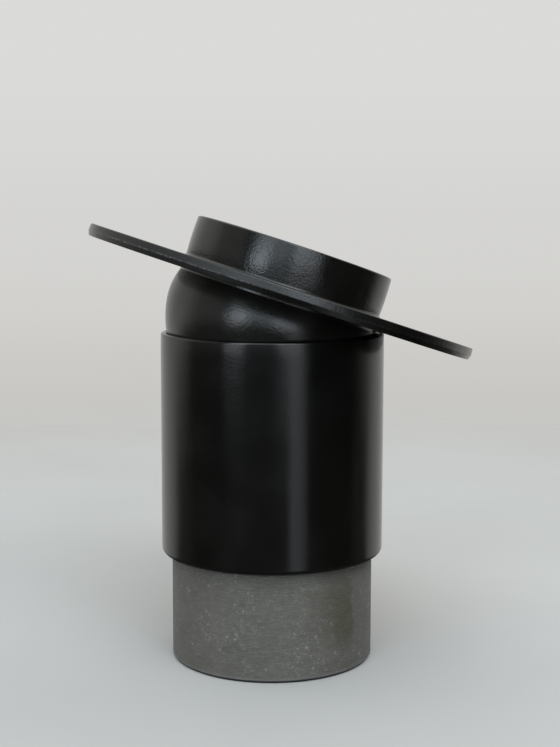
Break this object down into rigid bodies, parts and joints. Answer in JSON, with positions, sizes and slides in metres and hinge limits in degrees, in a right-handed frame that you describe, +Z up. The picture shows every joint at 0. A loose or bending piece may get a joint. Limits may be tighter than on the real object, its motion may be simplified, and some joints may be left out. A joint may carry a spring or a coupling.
{
  "type": "ceramic vase",
  "caption": "Tall cylindrical glazed vase on a turned stone plinth, topped by a rocking bowl and a wide flat brim with an open crown that leans to one side.",
  "frame": {"origin": "centre of the felt pad's underside, on the surface that the vase stands on", "axes": "+Z up along the plinth and vessel, +X toward the side where the brim leans down at rest"},
  "size_m": [0.2889, 0.3028, 0.3378],
  "materials": {
    "black_glaze": "satin-gloss black glaze with a faint orange-peel surface",
    "bluestone": "fine-turned, matt, with pale fossil specks and an olive stain",
    "felt": "dense wool felt",
    "cork": "fine-grained pressed cork"
  },
  "bodies": {
    "base": {"felt_pad": "felt", "plinth": "bluestone", "cushion_ring": "cork"},
    "vessel": {"vessel": "black_glaze"},
    "bowl": {"bowl": "black_glaze"},
    "hat": {"hat": "black_glaze"}
  },
  "joints": [
    {"name": "vessel_turn", "type": "hinge", "parent": "base", "child": "vessel", "pos_m": [0, 0, 0.0818], "axis": [0, 0, 1], "continuous": true},
    {"name": "bowl_rock", "type": "hinge", "parent": "vessel", "child": "bowl", "pos_m": [0, 0, 0.2615], "axis": [0, 1, 0], "range_deg": [-36.51, 0]},
    {"name": "hat_lift", "type": "slide", "parent": "bowl", "child": "hat", "axis": [0.3133, 0, 0.9497], "range_m": [0, 0.04]}
  ]
}
